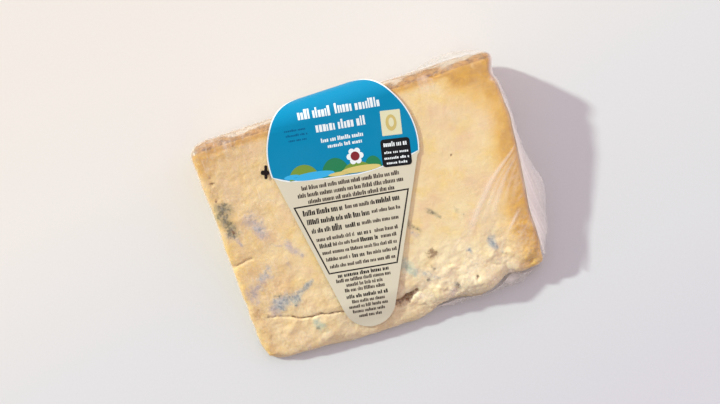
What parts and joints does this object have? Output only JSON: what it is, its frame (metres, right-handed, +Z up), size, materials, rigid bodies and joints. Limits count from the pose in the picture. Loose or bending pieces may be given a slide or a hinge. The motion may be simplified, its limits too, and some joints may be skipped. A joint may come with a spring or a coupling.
{
  "type": "wrapped piece of blue stilton cheese",
  "caption": "Wedge-shaped piece of blue-veined cheese in clear wrap, lying flat, with a balloon-shaped sticker folded over its thick rind edge.",
  "frame": {"origin": "middle of the bounding box's bottom, on the surface that the cheese rests on", "axes": "+X along the rind edge towards the drum's flat end, +Y towards the thick rind edge, +Z up"},
  "size_m": [0.1392, 0.1062, 0.0301],
  "materials": {
    "cheese": "moist ivory and golden cheese paste, crumbly at the thin edge, with grey-blue mould",
    "label": "coated paper sticker: blue dome with a white border, cream tongue, plain printed bars",
    "film": "thin clear wrap, creased and gathered"
  },
  "bodies": {
    "root": {"cheese": "cheese", "label": "label", "film_end_fold": "film", "film_front_fold": "film", "film_rind_fold": "film"}
  },
  "joints": []
}
